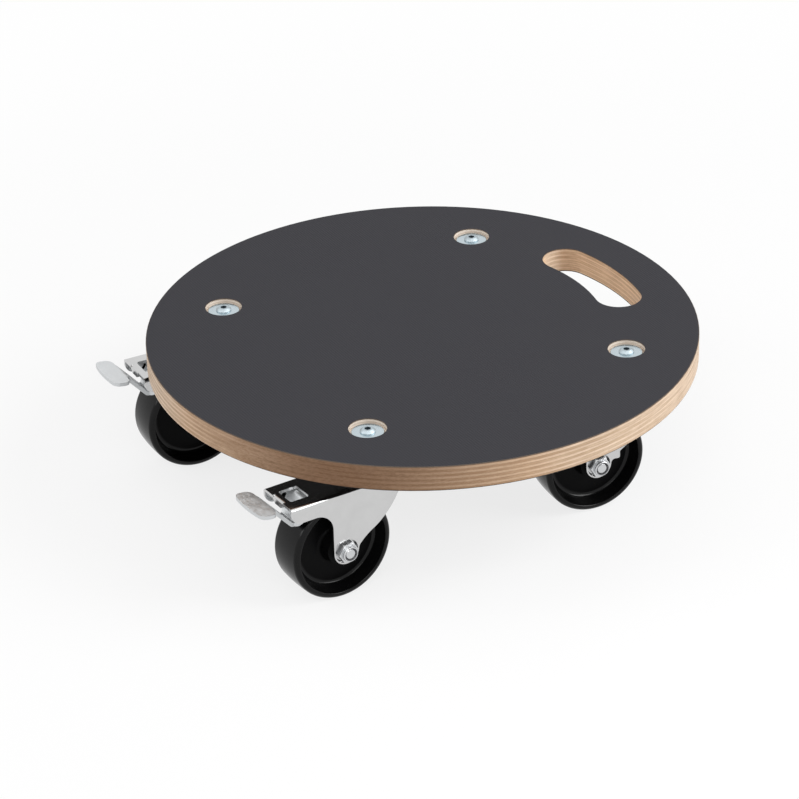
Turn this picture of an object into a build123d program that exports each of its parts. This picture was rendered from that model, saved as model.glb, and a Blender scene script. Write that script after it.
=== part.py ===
from build123d import *
import os
from math import asin, atan2, cos, degrees, hypot, radians, sin, sqrt, tan

# Round plywood dolly on four swivel castors, two of them with a wheel brake.
# Millimetres. The origin is on the floor under the middle of the deck, +X points to the hand-hold, +Z up.
# A castor is drawn by itself: x along its trail from the swivel axis, y along the axle towards the nut,
# z up from the floor.

# Deck
deck_diameter = 380.0
deck_thickness = 18.0
facing_thickness = 0.6
facing_edge_land = 0.2
castor_inset = 47.0
hand_hold_inset = 47.0
hand_hold_width = 32.5
hand_hold_length = 69.0

# Deck fasteners
bolt_diameter = 6.0
bolt_protrusion = 2.05
bolt_end_chamfer = 0.75
bolt_head_diameter = 10.5
bolt_head_flat_diameter = 7.0
bolt_head_height = 2.3
bolt_head_dome = 1.6
bolt_socket_flats = 4.0
bolt_socket_depth = 1.7
bolt_hole_clearance = 0.25
bolt_head_sink = 0.1
washer_diameter = 22.0
washer_thickness = 2.0
washer_edge = 0.5
counterbore_clearance = 1.75
deck_nut_flats = 10.0
deck_nut_height = 6.0
deck_nut_collar_diameter = 8.6
deck_nut_collar_height = 1.8
nut_collar_wall = 0.5
nut_collar_lip = 0.35
nut_collar_rounding = 0.6
nut_insert_fit = 0.02
nut_corner_chamfer = 30.0

# Wheel
wheel_diameter = 75.0
wheel_width = 28.5
tread_crown = 0.7
tread_edge_radius = 3.2
rim_lip = 4.5
rim_draft = 3.0
rim_lip_rounding = 1.0
wheel_web_thickness = 8.0
wheel_web_fillet = 2.5
hub_wall = 5.45
hub_draft = 1.0
hub_side_play = 0.2
running_clearance = 0.05

# Axle
axle_diameter = 8.0
axle_hole_clearance = 0.1
axle_head_flats = 13.0
axle_head_height = 5.3
axle_nut_height = 8.0
axle_nut_collar_diameter = 11.0
axle_nut_collar_height = 2.2
axle_end_recess = 0.6
axle_end_chamfer = 0.8
sleeve_wall = 1.9

# Fork
fork_sheet = 2.0
fork_bend_radius = 2.5
fork_head_blend = 20.0
fork_front_lip = 3.5
fork_front_run = 9.5
fork_front_fillet = 6.0
wheel_side_gap = 1.75
wheel_top_gap = 5.0
trail = 30.0
lug_rim = 0.9
lug_blend = 6.0
leading_edge_offset = 6.4
plain_shoulder_reach = 15.7
plain_shoulder_height = 2.4
plain_shoulder_radius = 1.5
plain_neck_radius = 3.0
axle_seat_depth = 2.5
axle_seat_slope = 0.9
axle_seat_clearance = 0.2
axle_seat_edge = 0.8

# Brake arm of the rear forks
arm_overhang = 2.5
arm_depth = 11.6
arm_throat_radius = 13.0
arm_corner_radius = 7.0
arm_end_band = 5.0
window_length = 14.0
window_width = 16.0
window_corner = 1.5
end_tab_depth = 5.0
end_tab_root_width = 12.6
end_tab_tip_width = 7.2

# Brake lever
pivot_pin_diameter = 4.0
pin_press = 0.02
pivot_hub_wall = 1.95
pivot_hub_top_gap = 0.5
pivot_side_play = 0.6
lever_thickness = 2.6
lever_bend_radius = 2.6
flank_slope = 55.0
flank_length = 17.4
flank_width = 25.0
flank_shoulder = 4.0
lever_width = 16.0
lever_slope = 48.5
lever_length = 25.4
paddle_slope = 8.0
paddle_length = 14.0
paddle_width = 36.0
paddle_corner = 5.0
paddle_bulge = 2.0
paddle_neck_fillet = 4.0

# Swivel head
head_height = 12.0
head_plate_sheet = 2.8
head_plate_inset = 1.0
head_skirt_wall = 1.6
head_skirt_gap = 3.2
head_plate_rounding = 1.8
upper_ball_diameter = 5.0
upper_ball_count = 12
lower_ball_diameter = 4.0
lower_ball_count = 10
seated_ball_clearance = 0.05
moving_ball_clearance = 0.3
race_depth = 0.65
race_land = 1.0
race_shoulder = 0.3
crown_bore_gap = 2.0
crown_wall = 1.0
crown_wall_slope = 0.8
crown_inner_rise = 1.0
crown_floor = 1.5
crown_flange = 4.2
crown_lap = 0.6
cup_sheet = 2.3
cup_rim_wall = 1.4
kingpin_wall = 1.75
kingpin_shoulder = 1.0
kingpin_head_flange = 2.0
kingpin_rivet_flange = 3.0
kingpin_rivet_height = 2.0
kingpin_rivet_taper = 0.7
kingpin_fit = 0.02

# Castors: corner of the deck in x and y, swivel angle of the trail at rest, braked or plain
castors = {
    "front_left": (1, 1, 176.0, False),
    "front_right": (1, -1, 174.5, False),
    "rear_left": (-1, 1, 177.5, True),
    "rear_right": (-1, -1, 182.7, True),
}

# Places across the castor, from the bolt and the wheel outwards
wheel_radius = wheel_diameter / 2
deck_radius = deck_diameter / 2
bolt_hole_radius = bolt_diameter / 2 + bolt_hole_clearance
counterbore_radius = washer_diameter / 2 + counterbore_clearance
kingpin_radius = bolt_hole_radius + kingpin_wall
shoulder_radius = kingpin_radius + kingpin_shoulder
upper_ball_radius = upper_ball_diameter / 2
lower_ball_radius = lower_ball_diameter / 2
lower_race = shoulder_radius + crown_bore_gap + lower_ball_radius
upper_race = lower_race + lower_ball_radius + race_land + upper_ball_radius
crown_radius = upper_race + upper_ball_radius
fork_head_radius = crown_radius + crown_wall_slope + crown_flange
front_reach = fork_head_radius + fork_sheet
head_plate_radius = fork_head_radius - head_plate_inset
fork_inner_width = wheel_width + 2 * wheel_side_gap
fork_half_width = fork_inner_width / 2 + fork_sheet
seat_face = fork_half_width - axle_seat_depth
sleeve_half_length = fork_inner_width / 2 - axle_seat_depth
sleeve_radius = axle_diameter / 2 + axle_hole_clearance + sleeve_wall
seat_floor_radius = axle_head_flats / sqrt(3) + axle_seat_clearance
seat_mouth_radius = seat_floor_radius + axle_seat_slope
lug_radius = seat_mouth_radius + lug_rim
leg_edge = trail + lug_radius
arm_length = trail + wheel_radius + arm_overhang
castor_offset = (deck_radius - castor_inset) * cos(radians(45))
hand_hold_radius = deck_radius - hand_hold_inset

# Levels from the floor up
axle_z = wheel_radius
web_bottom = wheel_diameter + wheel_top_gap
web_top = web_bottom + fork_sheet
deck_bottom = web_top + head_height
deck_top = deck_bottom + deck_thickness
washer_seat = deck_top - bolt_head_sink - bolt_head_height - washer_thickness
bolt_seat = washer_seat + washer_thickness

# Levels of the swivel head, from the deck down
plate_bottom = deck_bottom - head_plate_sheet
upper_ball_z = plate_bottom + race_depth - seated_ball_clearance - upper_ball_radius
crown_race_top = upper_ball_z - upper_ball_radius - moving_ball_clearance + race_depth
crown_top = crown_race_top + crown_inner_rise
crown_under = crown_race_top - race_depth - crown_floor
lower_roof = crown_under + race_depth
lower_ball_z = lower_roof + race_depth - moving_ball_clearance - lower_ball_radius
cup_race_top = lower_ball_z - lower_ball_radius - seated_ball_clearance + race_depth
cup_bottom = cup_race_top - race_depth - cup_sheet
rivet_bottom = cup_bottom - kingpin_rivet_height
bolt_tip = rivet_bottom - deck_nut_height - bolt_protrusion

# Brake lever, in the castor's own x and z: pivot, upper end of the flank and corner of the fold
pivot_hub_radius = pivot_pin_diameter / 2 + running_clearance + pivot_hub_wall
pivot_x = arm_length - arm_end_band - window_length
pivot_z = web_bottom - pivot_hub_top_gap - pivot_hub_radius
flank_offset = pivot_hub_radius - lever_thickness / 2
flank_x = pivot_x + flank_offset * sin(radians(flank_slope))
flank_z = pivot_z + flank_offset * cos(radians(flank_slope))
fold_x = flank_x + flank_length * cos(radians(flank_slope))
fold_z = flank_z - flank_length * sin(radians(flank_slope))


def outline(*points):
    """Flat face inside a closed line of straight runs."""
    return make_face(Polyline(*points, close=True))


def turned(*points):
    """Ring turned about Z from its section, given as radius and height."""
    return revolve(Plane.XZ * outline(*points), Axis.Z)


def groove(circle_radius, z, radius):
    """Round race groove about Z."""
    return Pos(0, 0, z) * Torus(circle_radius, radius)


def upright(radius, bottom, top):
    """Cylinder about Z between two heights."""
    return Pos(0, 0, (bottom + top) / 2) * Cylinder(radius, top - bottom)


def crosswise(x, z, radius, start, end):
    """Cylinder parallel to the axle, between two places along it."""
    return Pos(x, (start + end) / 2, z) * Rot(90, 0, 0) * Cylinder(radius, end - start)


def hexagon(flats):
    """Hexagon from its width across the flats."""
    return RegularPolygon(flats / sqrt(3), 6)


def hex_cone(flats):
    """Height of the cone that takes the corners off a hexagon."""
    return (flats / sqrt(3) - flats / 2) * tan(radians(nut_corner_chamfer))


def lock_nut(thread_diameter, flats, height, collar_diameter, collar_height):
    """Lock nut standing on z = 0, and the nylon insert that its collar is crimped over."""
    corner = flats / sqrt(3)
    cone = hex_cone(flats)
    top = height - collar_height
    lip = height - nut_collar_wall
    bore = thread_diameter / 2 + running_clearance
    pocket = collar_diameter / 2 - nut_collar_wall
    nut = extrude(hexagon(flats), top)
    nut &= turned((0, 0), (flats / 2, 0), (corner, cone), (corner, top - cone), (flats / 2, top), (0, top))
    collar = upright(collar_diameter / 2, 0, height)
    nut += fillet(collar.faces().sort_by(Axis.Z)[-1].edges(), nut_collar_rounding)
    nut -= upright(bore, 0, top)
    nut -= upright(pocket, top, lip)
    nut -= upright(pocket - nut_collar_lip, lip, height)
    insert = upright(pocket - nut_insert_fit, top, lip) - upright(bore, top, lip)
    return nut, insert


def hand_hold():
    """Kidney-shaped slot, concentric with the rim."""
    half_angle = degrees(hand_hold_length / 2 / hand_hold_radius)
    return SlotArc(CenterArc((0, 0), hand_hold_radius, -half_angle, 2 * half_angle), hand_hold_width)


def castor_corners():
    """Deck positions of the four castors."""
    return [(sx * castor_offset, sy * castor_offset) for sx, sy, _, _ in castors.values()]


def deck_layer(bottom, top, bolt_radius):
    """Slice of the round deck between two heights, with the hand-hold and the four bolt holes."""
    face = Circle(deck_radius) - hand_hold()
    for x, y in castor_corners():
        face -= Pos(x, y) * Circle(bolt_radius)
    return Pos(0, 0, bottom) * extrude(face, top - bottom)


def deck_panel():
    panel = deck_layer(deck_bottom + facing_thickness, deck_top - facing_thickness, bolt_hole_radius)
    for x, y in castor_corners():
        panel -= Pos(x, y) * upright(counterbore_radius, washer_seat, deck_top)
    return panel


def top_facing():
    film = deck_layer(deck_top - facing_thickness, deck_top, counterbore_radius)
    return chamfer(film.faces().sort_by(Axis.Z)[-1].outer_wire().edges(), facing_thickness - facing_edge_land)


def underside_facing():
    film = deck_layer(deck_bottom, deck_bottom + facing_thickness, bolt_hole_radius)
    return chamfer(film.faces().sort_by(Axis.Z)[0].outer_wire().edges(), facing_thickness - facing_edge_land)


def deck_washer():
    washer = upright(washer_diameter / 2, washer_seat, bolt_seat)
    washer = fillet(washer.faces().sort_by(Axis.Z)[-1].edges(), washer_edge)
    return washer - upright(bolt_hole_radius, washer_seat, bolt_seat)


def deck_bolt():
    """Button-head socket screw, its domed head just below the deck's top face."""
    head_radius = bolt_head_diameter / 2
    head_top = bolt_seat + bolt_head_height
    flat_edge = (bolt_head_flat_diameter / 2, head_top)
    dome_edge = (head_radius, head_top - bolt_head_dome)
    sides = Polyline(dome_edge, (head_radius, bolt_seat), (0, bolt_seat), (0, head_top), flat_edge)
    dome = RadiusArc(flat_edge, dome_edge, head_radius)
    head = revolve(Plane.XZ * make_face([sides, dome]), Axis.Z)
    head -= Pos(0, 0, head_top - bolt_socket_depth) * extrude(hexagon(bolt_socket_flats), bolt_socket_depth)
    shank = upright(bolt_diameter / 2, bolt_tip, bolt_seat)
    return head + chamfer(shank.faces().sort_by(Axis.Z)[0].edges(), bolt_end_chamfer)


def deck_lock_nut():
    """Lock nut under the kingpin, and its insert."""
    collar = (deck_nut_collar_diameter, deck_nut_collar_height)
    pieces = lock_nut(bolt_diameter, deck_nut_flats, deck_nut_height, *collar)
    return [Pos(0, 0, rivet_bottom) * Rot(180, 0, 0) * piece for piece in pieces]


def head_plate():
    """Upper race plate with a skirt that keeps dust out of the bearing."""
    inner = head_plate_radius - head_skirt_wall
    skirt_bottom = web_top + head_skirt_gap
    bore = kingpin_radius + kingpin_fit
    plate = turned(
        (bore, plate_bottom),
        (inner, plate_bottom),
        (inner, skirt_bottom),
        (head_plate_radius, skirt_bottom),
        (head_plate_radius, deck_bottom),
        (bore + kingpin_head_flange, deck_bottom),
        (bore, deck_bottom - kingpin_head_flange),
    )
    rim = plate.edges().filter_by(GeomType.CIRCLE).group_by(SortBy.RADIUS)[-1].sort_by(Axis.Z)[-1]
    plate = fillet(rim, head_plate_rounding)
    return plate - groove(upper_race, upper_ball_z, upper_ball_radius + seated_ball_clearance)


def kingpin():
    """Hollow rivet: flush head in the plate, shoulder between the races, flared end under the cup."""
    return turned(
        (bolt_hole_radius, deck_bottom),
        (kingpin_radius + kingpin_head_flange, deck_bottom),
        (kingpin_radius, deck_bottom - kingpin_head_flange),
        (kingpin_radius, plate_bottom),
        (shoulder_radius, plate_bottom),
        (shoulder_radius, cup_bottom + cup_sheet),
        (kingpin_radius, cup_bottom + cup_sheet),
        (kingpin_radius, cup_bottom),
        (kingpin_radius + kingpin_rivet_flange, cup_bottom),
        (kingpin_radius + kingpin_rivet_flange - kingpin_rivet_taper, rivet_bottom),
        (bolt_hole_radius, rivet_bottom),
    )


def lower_cup():
    """Lower race cup, gripped between the kingpin's shoulder and its flared end."""
    bore = kingpin_radius + kingpin_fit
    rim_inner = lower_race + lower_ball_radius + 2 * moving_ball_clearance
    rim_outer = rim_inner + cup_rim_wall
    cup = turned(
        (bore, cup_bottom),
        (rim_outer - cup_sheet, cup_bottom),
        (rim_outer, cup_bottom + cup_sheet),
        (rim_outer, lower_ball_z),
        (rim_inner, lower_ball_z),
        (rim_inner, cup_race_top),
        (lower_race - lower_ball_radius, cup_race_top),
        (lower_race - lower_ball_radius, cup_bottom + cup_sheet),
        (bore, cup_bottom + cup_sheet),
    )
    return cup - groove(lower_race, lower_ball_z, lower_ball_radius + seated_ball_clearance)


def ball_ring(circle_radius, z, radius, count):
    """Balls spread evenly round a race."""
    return [Pos(0, 0, z) * place * Sphere(radius) for place in PolarLocations(circle_radius, count)]


def fork_crown():
    """Raised middle of the fork's web, pressed into an upper and a lower race."""
    bore = shoulder_radius + crown_bore_gap
    step = upper_race - upper_ball_radius + race_shoulder
    inner_wall = crown_radius - crown_wall
    foot = crown_radius + crown_wall_slope
    crown = turned(
        (bore, lower_roof),
        (step - crown_wall, lower_roof),
        (step, crown_under),
        (inner_wall - crown_wall_slope, crown_under),
        (inner_wall, web_bottom),
        (foot + crown_lap, web_bottom),
        (foot + crown_lap, web_top),
        (foot, web_top),
        (crown_radius, crown_race_top),
        (step, crown_race_top),
        (step - crown_wall_slope, crown_top),
        (bore, crown_top),
    )
    crown -= groove(upper_race, upper_ball_z, upper_ball_radius + moving_ball_clearance)
    return crown - groove(lower_race, lower_ball_z, lower_ball_radius + moving_ball_clearance)


def corner_at(sketch, x, y):
    """The corner of a flat shape nearest to a point."""
    return sketch.vertices().sort_by_distance((x, y, 0))[0]


def fork_plan(length, half_width, head_radius, blend, rear_radius):
    """Fork seen from above: round head running into two parallel sides."""
    plan = Circle(head_radius) + Pos(length / 2, 0) * Rectangle(length, 2 * half_width)
    waist = sqrt(head_radius**2 - half_width**2)
    for side in (1, -1):
        plan = fillet(corner_at(plan, waist, side * half_width), blend)
        plan = fillet(corner_at(plan, length, side * half_width), rear_radius)
    return plan


def fork_side(braked):
    """Side view of the fork: head and leg with a round lug, on a braked fork also the arm over the tread.

    A plain fork's leg keeps a shoulder ahead of the lug.
    """
    lip_x = fork_front_run - front_reach
    lip_z = web_top - fork_front_lip
    to_axle = hypot(trail - lip_x, lip_z - axle_z)
    slope = atan2(lip_z - axle_z, trail - lip_x) + asin(leading_edge_offset / to_axle)
    foot_x = trail - leading_edge_offset / sin(slope)
    shoulder_x = trail - plain_shoulder_reach
    shoulder_z = axle_z + plain_shoulder_height
    shoulder_top = axle_z + (foot_x - shoulder_x) * tan(slope)
    neck_x = trail - sqrt(lug_radius**2 - plain_shoulder_height**2)
    shoulder = [(shoulder_x, shoulder_top), (shoulder_x, shoulder_z), (trail, shoulder_z), (trail, axle_z)]
    side = outline(
        (-front_reach, web_top),
        (-front_reach, lip_z),
        (lip_x, lip_z),
        *([(foot_x, axle_z)] if braked else shoulder),
        (leg_edge, axle_z),
        (leg_edge, web_top),
    )
    side += Pos(trail, axle_z) * Circle(lug_radius)
    side = fillet(corner_at(side, lip_x, lip_z), fork_front_fillet)
    if braked:
        side = fillet(corner_at(side, foot_x, axle_z + lug_radius - leading_edge_offset), lug_blend)
        arm_bottom = web_top - arm_depth
        arm = Rectangle(arm_length - trail, arm_depth, align=(Align.MIN, Align.MAX))
        side += Pos(trail, web_top) * arm
        side = fillet(corner_at(side, leg_edge, arm_bottom), arm_throat_radius)
        side = fillet(corner_at(side, arm_length, arm_bottom), arm_corner_radius)
    else:
        side = fillet(corner_at(side, shoulder_x, shoulder_z), plain_shoulder_radius)
        side = fillet(corner_at(side, neck_x, shoulder_z), plain_neck_radius)
    return side


def about_axle(*points):
    """Ring turned about the axle from its section, given as place along the axle and radius."""
    return Pos(trail, 0, axle_z) * revolve(Plane.YZ * outline(*points), Axis.Y)


def along_axle(place, solid):
    """Solid drawn along Z, laid along the axle."""
    return Pos(trail, place, axle_z) * Rot(-90, 0, 0) * solid


def bent_block(plan, depth, bend):
    """Block over a plan view, up to a depth below the fork's top, with its upper edges rounded."""
    bottom = axle_z - lug_radius
    block = Pos(0, 0, bottom) * extrude(plan, web_top - depth - bottom)
    return fillet(block.faces().sort_by(Axis.Z)[-1].edges(), bend)


def bent_sheet(braked):
    """Sheet bent over the wheel, open at the rear; the brake arm's web has a window."""
    length = (arm_length if braked else leg_edge) + 2 * fork_bend_radius
    inner_length = length + fork_bend_radius
    inner_half = fork_inner_width / 2
    inner_head = fork_head_radius - fork_sheet
    inner_blend = fork_head_blend + fork_sheet
    inner_bend = fork_bend_radius - fork_sheet
    outside = fork_plan(length, fork_half_width, fork_head_radius, fork_head_blend, fork_bend_radius)
    inside = fork_plan(inner_length, inner_half, inner_head, inner_blend, inner_bend)
    sheet = bent_block(outside, 0, fork_bend_radius)
    sheet -= bent_block(inside, fork_sheet, inner_bend)
    if braked:
        window_x = arm_length - arm_end_band - window_length / 2
        window = RectangleRounded(window_length, window_width, window_corner)
        sheet -= Pos(window_x, 0, web_bottom) * extrude(window, fork_sheet)
    return sheet & extrude(Plane.XZ * fork_side(braked), front_reach, both=True)


def end_tab():
    """Tab bent down from the middle of the arm's end, narrower at its tip; and the block it replaces."""
    root_x = arm_length - fork_bend_radius
    inner_x = arm_length - fork_sheet
    tip_z = web_top - end_tab_depth
    section = outline(
        (root_x, web_top),
        (arm_length, web_top),
        (arm_length, tip_z),
        (inner_x, tip_z),
        (inner_x, web_bottom),
        (root_x, web_bottom),
    )
    section = fillet(corner_at(section, arm_length, web_top), fork_bend_radius)
    section = fillet(corner_at(section, inner_x, web_bottom), fork_bend_radius - fork_sheet)
    root = end_tab_root_width / 2
    tip = end_tab_tip_width / 2
    shape = outline(
        (-root, web_top),
        (root, web_top),
        (root, web_bottom),
        (tip, tip_z),
        (-tip, tip_z),
        (-root, web_bottom),
    )
    tab = extrude(Plane.XZ * section, root, both=True) & extrude(Plane.YZ * shape, arm_length)
    gap = Pos((root_x + arm_length) / 2, 0, web_top) * Box(fork_bend_radius, 2 * root, 4 * fork_sheet)
    return tab, gap


def fork(braked):
    """Pressed steel fork: a bent sheet with a bearing crown and an inward dish round each axle hole."""
    shell = bent_sheet(braked)
    middle = (fork_inner_width + fork_sheet) / 2
    for side in (1, -1):
        shell += about_axle(
            (side * middle, 0),
            (side * middle, seat_mouth_radius + axle_seat_edge),
            (side * fork_inner_width / 2, seat_mouth_radius + axle_seat_edge),
            (side * sleeve_half_length, seat_floor_radius + axle_seat_edge),
            (side * sleeve_half_length, 0),
        )
        shell -= about_axle(
            (side * fork_half_width, 0),
            (side * fork_half_width, seat_mouth_radius),
            (side * seat_face, seat_floor_radius),
            (side * seat_face, 0),
        )
    axle_hole = axle_diameter / 2 + axle_hole_clearance
    shell -= crosswise(trail, axle_z, axle_hole, -fork_half_width, fork_half_width)
    if braked:
        pin_hole = pivot_pin_diameter / 2 + pin_press
        shell -= crosswise(pivot_x, pivot_z, pin_hole, -fork_half_width, fork_half_width)
        tab, gap = end_tab()
        shell = shell - gap + tab
    shell -= upright(crown_radius + crown_wall_slope, web_bottom, web_top)
    return shell + fork_crown()


def wheel():
    """One-piece wheel: crowned tread, drafted rim, plain web and a hub that runs on the sleeve."""
    half_width = wheel_width / 2
    edge = wheel_radius - tread_crown
    rim_face = wheel_radius - rim_lip
    rim_root = rim_face - rim_draft
    half_web = wheel_web_thickness / 2
    hub_half = sleeve_half_length - hub_side_play
    bore = sleeve_radius + running_clearance
    hub_radius = bore + hub_wall
    half = [
        (half_width, edge),
        (half_width, rim_face),
        (half_web, rim_root),
        (half_web, hub_radius + hub_draft),
        (hub_half, hub_radius),
        (hub_half, bore),
    ]
    other_half = [(-y, r) for y, r in reversed(half)]
    tread = ThreePointArc((-half_width, edge), (0, wheel_radius), (half_width, edge))
    section = make_face([Polyline(*half, *other_half), tread])
    for side in (1, -1):
        section = fillet(corner_at(section, side * half_web, rim_root), wheel_web_fillet)
        section = fillet(corner_at(section, side * half_web, hub_radius + hub_draft), wheel_web_fillet)
        section = fillet(corner_at(section, side * half_width, rim_face), rim_lip_rounding)
        section = fillet(corner_at(section, side * half_width, edge), tread_edge_radius)
    return Pos(trail, 0, axle_z) * revolve(Plane.YZ * section, Axis.Y)


def axle_sleeve():
    """Steel bush clamped between the two dishes, on which the wheel turns."""
    bore = axle_diameter / 2 + axle_hole_clearance
    ends = sleeve_half_length
    return about_axle((-ends, bore), (-ends, sleeve_radius), (ends, sleeve_radius), (ends, bore))


def axle_bolt():
    """Hex bolt from the far dish to just inside the lock nut's collar."""
    corner = axle_head_flats / sqrt(3)
    end = -axle_head_height
    head = Pos(0, 0, end) * extrude(hexagon(axle_head_flats), axle_head_height)
    head &= turned(
        (0, 0),
        (corner, 0),
        (corner, end + hex_cone(axle_head_flats)),
        (axle_head_flats / 2, end),
        (0, end),
    )
    shank = upright(axle_diameter / 2, 0, 2 * seat_face + axle_nut_height - axle_end_recess)
    shank = chamfer(shank.faces().sort_by(Axis.Z)[-1].edges(), axle_end_chamfer)
    return along_axle(-seat_face, head + shank)


def axle_nut():
    """Lock nut in the near dish, and its insert."""
    collar = (axle_nut_collar_diameter, axle_nut_collar_height)
    pieces = lock_nut(axle_diameter, axle_head_flats, axle_nut_height, *collar)
    return [along_axle(seat_face, piece) for piece in pieces]


def brake_pin():
    """Pin riveted flush into both sides of the arm."""
    return crosswise(pivot_x, pivot_z, pivot_pin_diameter / 2, -fork_half_width, fork_half_width)


def pedal_plan(knee_x, tip_x):
    """Lever seen from above: broad paddle with a bowed edge, narrow neck and a wider flank under the arm."""
    half = paddle_width / 2
    end_x = tip_x - paddle_bulge
    inner_edge = Polyline((end_x, half), (knee_x, half), (knee_x, -half), (end_x, -half))
    plan = make_face([inner_edge, ThreePointArc((end_x, -half), (tip_x, 0), (end_x, half))])
    for side in (1, -1):
        plan = fillet(corner_at(plan, end_x, side * half), paddle_corner)
        plan = fillet(corner_at(plan, knee_x, side * half), paddle_corner)
    neck_end = (knee_x + tip_x) / 2
    shoulder_x = fold_x - flank_shoulder
    plan += Pos((pivot_x + neck_end) / 2, 0) * Rectangle(neck_end - pivot_x, lever_width)
    plan += outline(
        (pivot_x, flank_width / 2),
        (shoulder_x, flank_width / 2),
        (fold_x, lever_width / 2),
        (fold_x, -lever_width / 2),
        (shoulder_x, -flank_width / 2),
        (pivot_x, -flank_width / 2),
    )
    for side in (1, -1):
        plan = fillet(corner_at(plan, knee_x, side * lever_width / 2), paddle_neck_fillet)
    return plan


def brake_pedal():
    """Lever folded from one strip: hub on the pin, flank down to the fold that brakes, neck and paddle."""
    slope = radians(lever_slope)
    tilt = radians(paddle_slope)
    flank = (flank_x, flank_z)
    fold = (fold_x, fold_z)
    knee = (fold_x + lever_length * cos(slope), fold_z + lever_length * sin(slope))
    tip = (knee[0] + paddle_length * cos(tilt), knee[1] + paddle_length * sin(tilt))
    band = trace(FilletPolyline(flank, fold, knee, tip, radius=lever_bend_radius), lever_thickness)
    lever = extrude(Plane.XZ * band, paddle_width / 2, both=True)
    lever &= extrude(pedal_plan(knee[0], tip[0]), deck_top)
    bore = pivot_pin_diameter / 2 + running_clearance
    hub_half = fork_inner_width / 2 - pivot_side_play
    lever += crosswise(pivot_x, pivot_z, pivot_hub_radius, -hub_half, hub_half)
    return lever - crosswise(pivot_x, pivot_z, bore, -hub_half, hub_half)


def main():
    os.makedirs("parts", exist_ok=True)
    nodes = {"deck_panel": deck_panel(), "top_facing": top_facing(), "underside_facing": underside_facing()}

    fixed = {"head_plate": head_plate(), "kingpin": kingpin(), "lower_cup": lower_cup()}
    forks = {True: fork(True), False: fork(False)}
    running = {"wheel": wheel(), "axle_sleeve": axle_sleeve()}
    axle = {"axle_bolt": axle_bolt(), **dict(zip(("axle_nut", "axle_nut_insert"), axle_nut()))}
    brake = {"brake_pedal": brake_pedal(), "brake_pin": brake_pin()}
    deck_nut, deck_nut_insert = deck_lock_nut()
    grouped = {
        "deck_bolts": [deck_bolt()],
        "deck_washers": [deck_washer()],
        "deck_lock_nuts": [deck_nut],
        "deck_nut_inserts": [deck_nut_insert],
        "upper_bearing_balls": ball_ring(upper_race, upper_ball_z, upper_ball_radius, upper_ball_count),
        "lower_bearing_balls": ball_ring(lower_race, lower_ball_z, lower_ball_radius, lower_ball_count),
    }
    groups = {name: [] for name in grouped}
    for castor, (side_x, side_y, swivel, braked) in castors.items():
        corner = Pos(side_x * castor_offset, side_y * castor_offset, 0)
        trailing = corner * Rot(0, 0, swivel)
        for piece, solid in fixed.items():
            nodes[f"{castor}_{piece}"] = corner * solid
        moving = {"fork": forks[braked], **running, **axle, **(brake if braked else {})}
        for piece, solid in moving.items():
            nodes[f"{castor}_{piece}"] = trailing * solid
        for name, solids in grouped.items():
            groups[name] += [corner * solid for solid in solids]
    for name, solids in groups.items():
        nodes[name] = Compound(children=solids)
    for name, shape in nodes.items():
        export_step(shape, f"parts/{name}.step")


main()
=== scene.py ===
import bpy
from math import cos, pi, radians, sin, sqrt
from mathutils import Matrix, Vector

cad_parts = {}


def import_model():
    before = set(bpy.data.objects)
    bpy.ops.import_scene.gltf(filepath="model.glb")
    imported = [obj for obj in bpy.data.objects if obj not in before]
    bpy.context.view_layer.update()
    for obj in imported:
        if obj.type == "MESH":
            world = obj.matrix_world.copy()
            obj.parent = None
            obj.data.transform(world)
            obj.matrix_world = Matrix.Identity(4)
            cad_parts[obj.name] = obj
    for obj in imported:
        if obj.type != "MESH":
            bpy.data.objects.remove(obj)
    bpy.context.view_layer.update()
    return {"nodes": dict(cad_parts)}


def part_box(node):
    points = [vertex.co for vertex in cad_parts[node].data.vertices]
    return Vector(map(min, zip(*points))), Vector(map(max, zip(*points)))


# Round plywood dolly on swivel castors, dressed with procedural finishes. Metres, in the frame of the part.
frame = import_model()
nodes = frame["nodes"]
castors = ("front_left", "front_right", "rear_left", "rear_right")

# Places on the pieces, where painted shade fills the bolts' sockets, and where the finish changes at the
# wheels' webs
deck_low, deck_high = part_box("deck_panel")
deck_top = Vector((0, 0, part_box("top_facing")[1].z))
pin_low, pin_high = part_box("front_left_kingpin")
bolt_place = (pin_low + pin_high) / 2
bolt_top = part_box("deck_bolts")[1].z
washer_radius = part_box("deck_washers")[1].x - bolt_place.x
socket_radius = 0.00235
socket_edge = 0.0001
socket_start = 0.00005
socket_full = 0.0002
web_radius = 0.028
web_edge = 0.001

# View: orbit about the middle of the deck's top, then a small turn of the camera where it stands
view_azimuth = radians(-30.0)
view_elevation = radians(28.015)
view_distance = 2.3483
view_yaw = radians(0.407)
view_pitch = radians(-1.201)
view_roll = radians(1.280)
lens = 153.83
sensor = 36.0
clip_start = 0.05

# Light: distance of the lamps from the deck, and the world's level for all but the camera and gloss
lamp_distance = 2.2
world_level = 0.3

# Floor: share of plain white in it as the camera and gloss see it, under the object and away from it
floor_half = 6.0
floor_white = (0.86, 0.86, 0.86)
floor_near = 0.25
floor_far = 0.9
floor_glow_near = 0.8
floor_glow_far = 0.98

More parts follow.
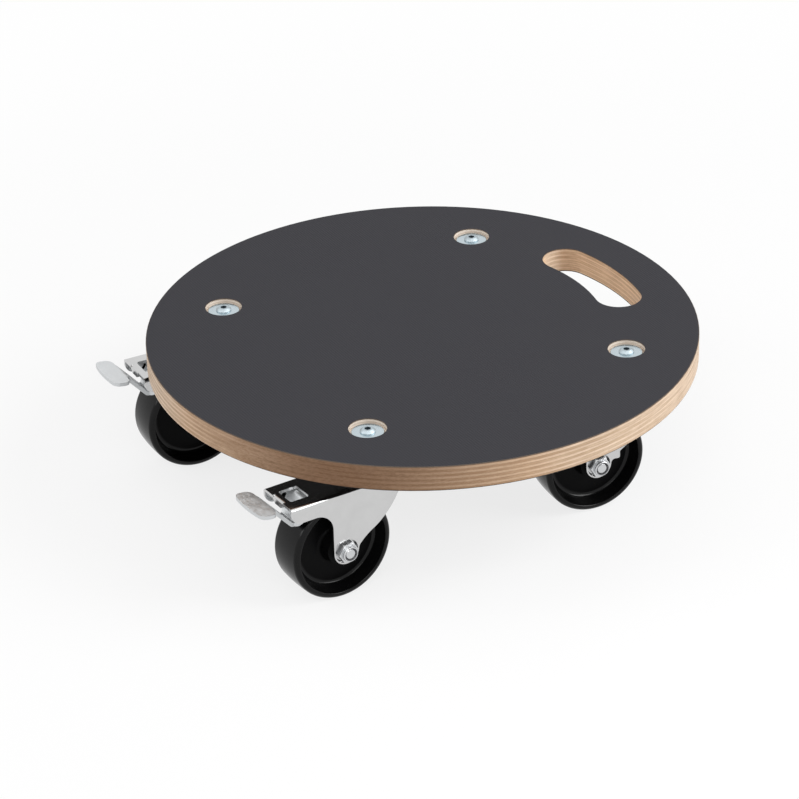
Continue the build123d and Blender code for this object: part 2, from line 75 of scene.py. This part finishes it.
# Noise patterns: cells to the metre, alike each way or for X, Y and Z, then detail and roughness
wander_noise = (24.0, 2.0, 0.5)
tone_noise = (26.0, 3.0, 0.6)
mottle_noise = ((350.0, 350.0, 1400.0), 3.0, 0.6)
streak_noise = ((60.0, 60.0, 2400.0), 4.0, 0.6)
pore_noise = ((700.0, 700.0, 1500.0), 3.0, 0.65)
glue_noise = (90.0, 3.0, 0.5)
film_noise = (35.0, 4.0, 0.6)
underside_noise = (60.0, 5.0, 0.6)
plating_noise = (130.0, 4.0, 0.6)
line_noise = ((260.0, 260.0, 2400.0), 2.0, 0.5)
ripple_noise = (55.0, 2.0, 0.5)
wheel_noise = (90.0, 4.0, 0.6)
wheel_skin_noise = (1500.0, 2.0, 0.5)
nylon_skin_noise = (1200.0, 2.0, 0.5)

# Range that holds most values of a noise
noise_span = (0.3, 0.7)

# A value named step says where a smooth step starts and ends, then its two levels if they aren't 0 and 1

# Plywood: crossed veneers, each pale where the edge runs along its grain
veneer_pair = 0.00339
veneer_start = 0.0013
pair_plies = 2.0
veneer_azimuth = radians(75.0)
veneer_wander = 0.14
veneer_step = (-0.4, 0.4)
tone_shift = 0.37
tone_swing = 0.35
inner_lift = 0.25
ply_light = (0.655, 0.50, 0.365)
ply_shadow = (0.82, 0.77, 0.70)
ply_lift = (1.18, 1.21, 1.25)

# Plywood: brown stretch of the outer rim, partly browner wood and partly painted shade on two opposite
# sides; tan walls of the hand-hold; and bare walls round the bolts, made paler partly as painted light
# against their shade
rim_start = 0.02
rim_full = 0.005
# Way the brown stretch faces, how fast it fades round the rim, and its share at the outer rim and further
# in; it is partly painted shade
brown_shade_azimuth = radians(43.0)
brown_shade_falloff = 6.0
brown_shade_outer = 0.93
brown_shade_inner = 0.3
mottle_swing = 0.6
honey_shade_step = (0.02, 0.25)
tan_azimuth = radians(0.0)
tan_step = (0.3, 0.8)
bare_lit_margin = 0.001
bare_lit_fade = 0.002
# Dark brown and honey of the brown stretch, which is partly painted shade; the streaks and pores use the
# dark brown too
ply_brown_and_shade = (0.152, 0.078, 0.040)
ply_honey_shade = (0.64, 0.445, 0.295)
ply_tan = (0.76, 0.54, 0.36)
# Paler wood of the counterbores' walls: bare wood, lightened further as painted light against their shade
ply_bare_and_lit = (0.87, 0.80, 0.72)

# Plywood: streaks, pores and glue lines
streak_step = (0.4, 0.75, 0.0, 0.3)
pore_step = (0.55, 0.75, 0.0, 0.3)
pore_shade = 0.8
pore_depth = 0.5
seam_step = (0.04, 0.15, 0.5, 0.0)
glue_step = (0.35, 0.6, 0.3, 1.0)
glue_brown = (0.26, 0.14, 0.07)
ply_depth = 0.00006

# Deck film and the film of the underside
mesh_pitch = 0.0026
weave_share = 0.3
weave_depth = 0.00005
film_level = (0.45, 0.55)
film_swing = 0.18
film_roughness = (0.585, 0.62)
film_cut_highlight_step = (0.6, 0.9, 1.0, 0.0)
film_grey = (0.0315, 0.031, 0.0362)
# Edge of the film: brownish phenolic, lightened as a painted highlight along it
film_edge_and_highlight = (0.15, 0.11, 0.08)
underside_brown = (0.010, 0.008, 0.007)
underside_swing = 0.2
underside_roughness = (0.35, 0.48)
underside_depth = 0.0001

# Metals: swing of the tone, spread of the roughness, depth of the rolled lines as a share of the ripple
plating_swing = 0.06
gloss_span = (0.25, 0.75)
gloss_spread = (0.8, 1.25)
line_depth = 0.05
zinc_grey = (0.59, 0.59, 0.59)
zinc_blue = (0.52, 0.60, 0.64)
zinc_white = (0.62, 0.63, 0.64)
bolt_shade = 0.74
# Painted shade in the deck bolts' sockets
socket_shade_grey = (0.10, 0.13, 0.15)
pedal_grey = (0.61, 0.625, 0.635)
ball_grey = (0.58, 0.58, 0.59)

# Plastics
wheel_black = (0.003, 0.003, 0.0032)
wheel_spread = (0.75, 1.3)
wheel_roughness = (0.4, 0.2)
wheel_swing = 0.03
rim_coat = 0.28
rim_coat_roughness = 0.16
nylon_grey = (0.14, 0.14, 0.145)
nylon_roughness = (0.4, 0.5)
skin_depth = 0.00002


class Graph:
    """Short way to add shader nodes to one material and join them."""

    def __init__(self, name, color, roughness, metallic=0.0, specular=0.5):
        self.material = bpy.data.materials.new(name)
        self.material.use_nodes = True
        self.tree = self.material.node_tree
        self.shader = self.tree.nodes["Principled BSDF"]
        self.shader.inputs["Base Color"].default_value = (*color, 1)
        self.shader.inputs["Roughness"].default_value = roughness
        self.shader.inputs["Metallic"].default_value = metallic
        self.shader.inputs["Specular IOR Level"].default_value = specular
        place = self.tree.nodes.new("ShaderNodeTexCoord")
        self.point = place.outputs["Object"]
        self.normal = place.outputs["Normal"]

    def put(self, value, socket):
        """Joins an output to a socket, or writes a plain value there."""
        if isinstance(value, bpy.types.NodeSocket):
            self.tree.links.new(value, socket)
        elif isinstance(value, tuple) and len(value) == 3 and socket.type == "RGBA":
            socket.default_value = (*value, 1)
        else:
            socket.default_value = value

    def set(self, socket, value):
        """Joins or writes one socket of the shader."""
        self.put(value, self.shader.inputs[socket])

    def math(self, operation, *values):
        node = self.tree.nodes.new("ShaderNodeMath")
        node.operation = operation
        for value, socket in zip(values, node.inputs):
            self.put(value, socket)
        return node.outputs[0]

    def measure(self, operation, first, second):
        """Number that a vector operation gives."""
        node = self.tree.nodes.new("ShaderNodeVectorMath")
        node.operation = operation
        self.put(first, node.inputs[0])
        self.put(second, node.inputs[1])
        return node.outputs["Value"]

    def split(self, vector):
        node = self.tree.nodes.new("ShaderNodeSeparateXYZ")
        self.put(vector, node.inputs[0])
        return node.outputs

    def join(self, *values):
        node = self.tree.nodes.new("ShaderNodeCombineXYZ")
        for value, socket in zip(values, node.inputs):
            self.put(value, socket)
        return node.outputs[0]

    def scaled(self, vector, scale):
        node = self.tree.nodes.new("ShaderNodeMapping")
        self.put(vector, node.inputs["Vector"])
        node.inputs["Scale"].default_value = scale
        return node.outputs[0]

    def noise(self, vector, cells, detail, roughness):
        """Noise with so many cells to the metre, alike each way or for X, Y and Z."""
        if isinstance(cells, tuple):
            vector = self.scaled(vector, cells)
            cells = 1.0
        node = self.tree.nodes.new("ShaderNodeTexNoise")
        self.put(vector, node.inputs["Vector"])
        node.inputs["Scale"].default_value = cells
        node.inputs["Detail"].default_value = detail
        node.inputs["Roughness"].default_value = roughness
        return node.outputs["Fac"]

    def rise(self, value, low, high, to_low=0.0, to_high=1.0):
        """Smooth step from one level to another."""
        node = self.tree.nodes.new("ShaderNodeMapRange")
        node.interpolation_type = "SMOOTHSTEP"
        for item, socket in zip((value, low, high, to_low, to_high), node.inputs):
            self.put(item, socket)
        return node.outputs[0]

    def mix(self, factor, first, second):
        node = self.tree.nodes.new("ShaderNodeMix")
        node.data_type = "RGBA"
        self.put(factor, node.inputs["Factor"])
        self.put(first, node.inputs["A"])
        self.put(second, node.inputs["B"])
        return node.outputs["Result"]

    def bump(self, height, distance, strength, below=None):
        node = self.tree.nodes.new("ShaderNodeBump")
        self.put(height, node.inputs["Height"])
        node.inputs["Distance"].default_value = distance
        node.inputs["Strength"].default_value = strength
        if below is not None:
            self.put(below, node.inputs["Normal"])
        return node.outputs[0]

    def faces(self, azimuth):
        """Is 1 where the surface faces a level direction or its opposite, and 0 where it lies along it."""
        direction = (cos(azimuth), sin(azimuth), 0.0)
        return self.math("ABSOLUTE", self.measure("DOT_PRODUCT", self.normal, direction))


def shade(color, factor):
    return tuple(min(c * factor, 1.0) for c in color)


def tint(color, factors):
    return tuple(min(c * f, 1.0) for c, f in zip(color, factors))


def swing(g, share, color, amount):
    """Goes with the share from a little under the colour to a little over it."""
    return g.mix(share, shade(color, 1 - amount), shade(color, 1 + amount))


def bolt_axis_distance(g):
    """Level distance from the nearest of the four deck bolts' axes."""
    axes = zip(g.split(g.point)[:2], bolt_place.xy)
    aside = (g.math("SUBTRACT", g.math("ABSOLUTE", value), middle) for value, middle in axes)
    return g.measure("DISTANCE", g.join(*aside, 0.0), (0.0, 0.0, 0.0))


def veneer_pairs(g):
    """Height counted in pairs of veneers, which wander a little."""
    height = g.split(g.point)["Z"]
    pair = g.math("MULTIPLY_ADD", height, 1 / veneer_pair, -(deck_low.z + veneer_start) / veneer_pair)
    wander = g.noise(g.point, *wander_noise)
    return g.math("ADD", pair, g.math("MULTIPLY_ADD", wander, veneer_wander, -veneer_wander / 2))


def veneer_paleness(g, pair):
    """Is high where a veneer's grain runs along the edge. Each ply has a cloudy tone of its own."""
    first = g.rise(g.math("SINE", g.math("MULTIPLY", pair, 2 * pi)), *veneer_step)
    along = g.math("POWER", g.faces(veneer_azimuth), 2.0)
    pale = g.math("SUBTRACT", 1.0, g.math("ABSOLUTE", g.math("SUBTRACT", first, along)))
    ply = g.math("FLOOR", g.math("MULTIPLY", pair, pair_plies))
    x, y = g.split(g.point)[:2]
    tone = g.noise(g.join(x, y, g.math("MULTIPLY", ply, tone_shift)), *tone_noise)
    return g.math("ADD", pale, g.rise(tone, *noise_span, -tone_swing, tone_swing))


def outer_rim(g):
    """Is 1 at the outer rim of the deck and 0 at the walls further in."""
    x, y = g.split(g.point)[:2]
    reach = g.math("SQRT", g.math("ADD", g.math("MULTIPLY", x, x), g.math("MULTIPLY", y, y)))
    return g.rise(reach, deck_high.x - rim_start, deck_high.x - rim_full)


def wood_color(g, pale, brown_shade, outer):
    """Colour of the wood from its paleness and its share of the rim's darker stretch, which is partly
    browner wood and partly painted shade, before streaks, pores and glue.
    """
    light, honey_shade, warm, dark_shade = (
        g.mix(pale, tint(color, ply_shadow), tint(color, ply_lift))
        for color in (ply_light, ply_honey_shade, ply_tan, ply_brown_and_shade)
    )
    tan = g.math("MULTIPLY", g.rise(g.faces(tan_azimuth), *tan_step), g.math("SUBTRACT", 1.0, outer))
    light = g.mix(g.rise(brown_shade, *honey_shade_step), light, honey_shade)
    wood = g.mix(brown_shade, g.mix(tan, light, warm), dark_shade)
    # Counterbore walls round the bolts go paler: bare wood, plus painted light in their shade
    bare_lit_edge = washer_radius + bare_lit_margin
    bare_lit = g.rise(bolt_axis_distance(g), bare_lit_edge, bare_lit_edge + bare_lit_fade, 1.0, 0.0)
    return g.mix(bare_lit, wood, ply_bare_and_lit)


def glue_lines(g, pair):
    """Share of glue in the seams between the plies, with gaps."""
    level = g.math("FRACT", g.math("MULTIPLY", pair, pair_plies))
    seam = g.math("MINIMUM", level, g.math("SUBTRACT", 1.0, level))
    return g.math("MULTIPLY", g.rise(seam, *seam_step), g.rise(g.noise(g.point, *glue_noise), *glue_step))


def plywood():
    """Sanded edge of crossed veneers: pale and darker plies alternate, and swap round the rim."""
    g = Graph("birch_plywood", ply_light, roughness=0.5, specular=0.2)
    pair = veneer_pairs(g)
    outer = outer_rim(g)
    # Brown stretch of the rim: partly browner wood, partly painted shade on two opposite sides
    brown_shade_share = g.math("MULTIPLY_ADD", outer, brown_shade_outer - brown_shade_inner, brown_shade_inner)
    brown_shade = g.math("MULTIPLY", g.math("POWER", g.faces(brown_shade_azimuth), brown_shade_falloff), brown_shade_share)
    pale = g.math("ADD", veneer_paleness(g, pair), g.math("MULTIPLY_ADD", outer, -inner_lift, inner_lift))
    mottle = g.rise(g.noise(g.point, *mottle_noise), *noise_span, -mottle_swing, mottle_swing)
    pale = g.math("MULTIPLY_ADD", mottle, brown_shade, pale)
    streaks = g.noise(g.point, *streak_noise)
    pores = g.noise(g.point, *pore_noise)
    wood = wood_color(g, pale, brown_shade, outer)
    wood = g.mix(g.rise(streaks, *streak_step), wood, ply_brown_and_shade)
    wood = g.mix(g.rise(pores, *pore_step), wood, shade(ply_brown_and_shade, pore_shade))
    glue = glue_lines(g, pair)
    height = g.math("SUBTRACT", g.math("MULTIPLY", pores, -pore_depth), glue)
    g.set("Base Color", g.mix(glue, wood, glue_brown))
    g.set("Normal", g.bump(height, ply_depth, strength=0.6))
    return g.material


def mesh_film():
    """Phenolic film with the print of a fine wire mesh, brownish at its sawn edge, which is lightened as a
    painted highlight.
    """
    g = Graph("mesh_film", film_grey, roughness=0.6, specular=0.12)
    turn = 2 * pi / mesh_pitch / sqrt(2)
    warp = g.math("SINE", g.measure("DOT_PRODUCT", g.point, (turn, turn, 0.0)))
    weft = g.math("SINE", g.measure("DOT_PRODUCT", g.point, (turn, -turn, 0.0)))
    weave = g.math("MULTIPLY", warp, weft)
    cloud = g.noise(g.point, *film_noise)
    tone = g.math("MULTIPLY_ADD", weave, weave_share, g.rise(cloud, *noise_span, *film_level))
    # Painted highlight along the film's edge, mixed with its brownish colour
    cut_highlight = g.rise(g.split(g.normal)["Z"], *film_cut_highlight_step)
    g.set("Base Color", g.mix(cut_highlight, swing(g, tone, film_grey, film_swing), film_edge_and_highlight))
    g.set("Roughness", g.rise(cloud, *noise_span, *film_roughness))
    g.set("Normal", g.bump(weave, weave_depth, strength=0.7))
    return g.material


def smooth_film():
    """Phenolic film of the underside, faintly cloudy."""
    g = Graph("smooth_film", underside_brown, roughness=0.45, specular=0.06)
    cloud = g.noise(g.point, *underside_noise)
    g.set("Base Color", swing(g, cloud, underside_brown, underside_swing))
    g.set("Roughness", g.rise(cloud, *noise_span, *underside_roughness))
    g.set("Normal", g.bump(cloud, underside_depth, strength=0.3))
    return g.material


def plated(name, color, roughness, grain, ripple, dark_shade=None):
    """Plated metal: fine cloudy tone, rolled grain in the gloss and a faint ripple of the sheet.

    Where a function is given for the sockets, it makes the share of painted shade, a deep grey, in them from
    the graph.
    """
    g = Graph(name, color, roughness, metallic=1.0)
    cloud = g.noise(g.point, *plating_noise)
    lines = g.noise(g.point, *line_noise)
    face = swing(g, cloud, color, plating_swing)
    gloss = g.math("MULTIPLY_ADD", lines, grain, g.math("MULTIPLY", cloud, 1 - grain))
    gloss_levels = (roughness * factor for factor in gloss_spread)
    rolled = g.bump(lines, ripple * line_depth, strength=0.4)
    # Painted shade in the sockets, where a mask for it is given
    g.set("Base Color", face if dark_shade is None else g.mix(dark_shade(g), face, socket_shade_grey))
    g.set("Roughness", g.rise(gloss, *gloss_span, *gloss_levels))
    g.set("Normal", g.bump(g.noise(g.point, *ripple_noise), ripple, strength=0.5, below=rolled))
    return g.material


def bolt_socket_shade(g):
    """Is 1 inside the sockets of the four deck bolts, where their shade is painted."""
    near = g.rise(bolt_axis_distance(g), socket_radius, socket_radius + socket_edge, 1.0, 0.0)
    sunk = g.rise(g.split(g.point)["Z"], bolt_top - socket_full, bolt_top - socket_start, 1.0, 0.0)
    return g.math("MULTIPLY", near, sunk)


def wheel_plastic(name, middle):
    """Moulded plastic: matt web, glossier rim and tread."""
    g = Graph(name, wheel_black, roughness=0.25, specular=0.05)
    cloud = g.noise(g.point, *wheel_noise)
    skin = g.noise(g.point, *wheel_skin_noise)
    rim = g.rise(g.measure("DISTANCE", g.point, middle), web_radius - web_edge, web_radius + web_edge)
    clouding = g.rise(cloud, *noise_span, -wheel_swing, wheel_swing)
    g.set("Base Color", g.mix(cloud, *(shade(wheel_black, factor) for factor in wheel_spread)))
    g.set("Coat Weight", g.math("MULTIPLY", rim, rim_coat))
    g.set("Coat Roughness", rim_coat_roughness)
    g.set("Roughness", g.math("ADD", clouding, g.rise(rim, 0.0, 1.0, *wheel_roughness)))
    g.set("Normal", g.bump(skin, skin_depth, strength=0.35))
    return g.material


def insert_nylon():
    """Moulded nylon of the rings in the lock nuts."""
    g = Graph("nut_nylon", nylon_grey, roughness=0.45, specular=0.3)
    skin = g.noise(g.point, *nylon_skin_noise)
    g.set("Roughness", g.rise(skin, *noise_span, *nylon_roughness))
    g.set("Normal", g.bump(skin, skin_depth, strength=0.4))
    return g.material


def dress(material, *names):
    for name in names:
        slots = nodes[name].data.materials
        slots.clear()
        slots.append(material)


def dress_castors(material, *pieces):
    """Dresses the pieces of every castor that has them."""
    dress(material, *(f"{c}_{p}" for c in castors for p in pieces if f"{c}_{p}" in nodes))


def dress_deck():
    dress(plywood(), "deck_panel")
    dress(mesh_film(), "top_facing")
    dress(smooth_film(), "underside_facing")


def dress_metal():
    fastener = plated("zinc_fastener", zinc_blue, roughness=0.2, grain=0.3, ripple=0.00004)
    dress(fastener, "deck_washers", "deck_lock_nuts")
    bolt_blue = shade(zinc_blue, bolt_shade)
    # The bolts' sockets get painted shade
    bolt = plated("zinc_bolt", bolt_blue, roughness=0.5, grain=0.3, ripple=0.00004, dark_shade=bolt_socket_shade)
    dress(bolt, "deck_bolts")
    axle = plated("axle_zinc", zinc_white, roughness=0.32, grain=0.3, ripple=0.00004)
    dress_castors(axle, "axle_bolt", "axle_nut")
    sheet = plated("zinc_sheet", zinc_grey, roughness=0.16, grain=0.5, ripple=0.00006)
    dress_castors(sheet, "fork", "head_plate", "kingpin", "lower_cup", "brake_pin")
    pedal = plated("pedal_metal", pedal_grey, roughness=0.48, grain=0.5, ripple=0.00005)
    dress_castors(pedal, "brake_pedal")
    bearing = plated("bearing_steel", ball_grey, roughness=0.1, grain=0.2, ripple=0.00002)
    dress(bearing, "upper_bearing_balls", "lower_bearing_balls")
    dress_castors(bearing, "axle_sleeve")


def dress_plastic():
    nylon = insert_nylon()
    dress(nylon, "deck_nut_inserts")
    dress_castors(nylon, "axle_nut_insert")
    for castor in castors:
        low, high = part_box(f"{castor}_wheel")
        dress(wheel_plastic(f"wheel_plastic_{castor}", (low + high) / 2), f"{castor}_wheel")


def seen_rays(tree):
    """Is 1 for the rays of the camera, of gloss and of transmission."""
    rays = tree.nodes.new("ShaderNodeLightPath")
    seen = rays.outputs["Is Camera Ray"]
    for name in ("Is Glossy Ray", "Is Transmission Ray"):
        both = tree.nodes.new("ShaderNodeMath")
        both.operation = "MAXIMUM"
        tree.links.new(seen, both.inputs[0])
        tree.links.new(rays.outputs[name], both.inputs[1])
        seen = both.outputs[0]
    return seen


def floor():
    """Plain floor that looks nearly white but keeps the shadow."""
    mesh = bpy.data.meshes.new("floor")
    corners = [(x * floor_half, y * floor_half, 0) for x, y in ((-1, -1), (1, -1), (1, 1), (-1, 1))]
    mesh.from_pydata(corners, [], [(0, 1, 2, 3)])
    plane = bpy.data.objects.new("floor", mesh)
    bpy.context.scene.collection.objects.link(plane)
    g = Graph("floor_white", floor_white, roughness=0.9, specular=0.0)
    away = g.measure("DISTANCE", g.point, (0.0, 0.0, 0.0))
    share = g.rise(away, floor_near, floor_far, floor_glow_near, floor_glow_far)
    glow = g.tree.nodes.new("ShaderNodeEmission")
    both = g.tree.nodes.new("ShaderNodeMixShader")
    g.put(g.math("MULTIPLY", seen_rays(g.tree), share), both.inputs[0])
    g.put(g.shader.outputs[0], both.inputs[1])
    g.put(glow.outputs[0], both.inputs[2])
    g.put(both.outputs[0], g.tree.nodes["Material Output"].inputs["Surface"])
    mesh.materials.append(g.material)


def world():
    """White surroundings for the camera and for gloss, a plain level for everything else."""
    scene_world = bpy.data.worlds.new("studio")
    bpy.context.scene.world = scene_world
    scene_world.use_nodes = True
    tree = scene_world.node_tree
    back = tree.nodes["Background"]
    back.inputs["Color"].default_value = (1, 1, 1, 1)
    level = tree.nodes.new("ShaderNodeMapRange")
    tree.links.new(seen_rays(tree), level.inputs["Value"])
    level.inputs["To Min"].default_value = world_level
    level.inputs["To Max"].default_value = 1.0
    tree.links.new(level.outputs[0], back.inputs["Strength"])


def soft_box(name, azimuth, elevation, size, power):
    """Square area lamp that faces the deck."""
    lamp = bpy.data.lights.new(name, "AREA")
    lamp.size = size
    lamp.energy = power
    holder = bpy.data.objects.new(name, lamp)
    bpy.context.scene.collection.objects.link(holder)
    turn, lift = radians(azimuth), radians(elevation)
    away = Vector((cos(lift) * cos(turn), cos(lift) * sin(turn), sin(lift)))
    holder.location = deck_top + away * lamp_distance
    holder.rotation_euler = away.to_track_quat("Z", "Y").to_euler()


def lamps():
    soft_box("key", azimuth=-40, elevation=35, size=1.4, power=37)
    soft_box("fill", azimuth=165, elevation=32, size=1.2, power=14)
    soft_box("top", azimuth=60, elevation=75, size=1.6, power=6)
    soft_box("front", azimuth=-120, elevation=45, size=1.2, power=15)


def camera():
    data = bpy.data.cameras.new("camera")
    data.lens = lens
    data.sensor_width = sensor
    data.clip_start = clip_start
    eye = bpy.data.objects.new("camera", data)
    bpy.context.scene.collection.objects.link(eye)
    orbit = Matrix.Rotation(view_azimuth, 4, "Z") @ Matrix.Rotation(pi / 2 - view_elevation, 4, "X")
    aim = Matrix.Rotation(view_yaw, 4, "Y") @ Matrix.Rotation(view_pitch, 4, "X")
    aim = aim @ Matrix.Rotation(-view_roll, 4, "Z")
    eye.matrix_world = Matrix.Translation(deck_top) @ orbit @ Matrix.Translation((0, 0, view_distance)) @ aim
    bpy.context.scene.camera = eye


dress_deck()
dress_metal()
dress_plastic()
floor()
world()
lamps()
camera()
bpy.context.scene.view_settings.view_transform = "Standard"
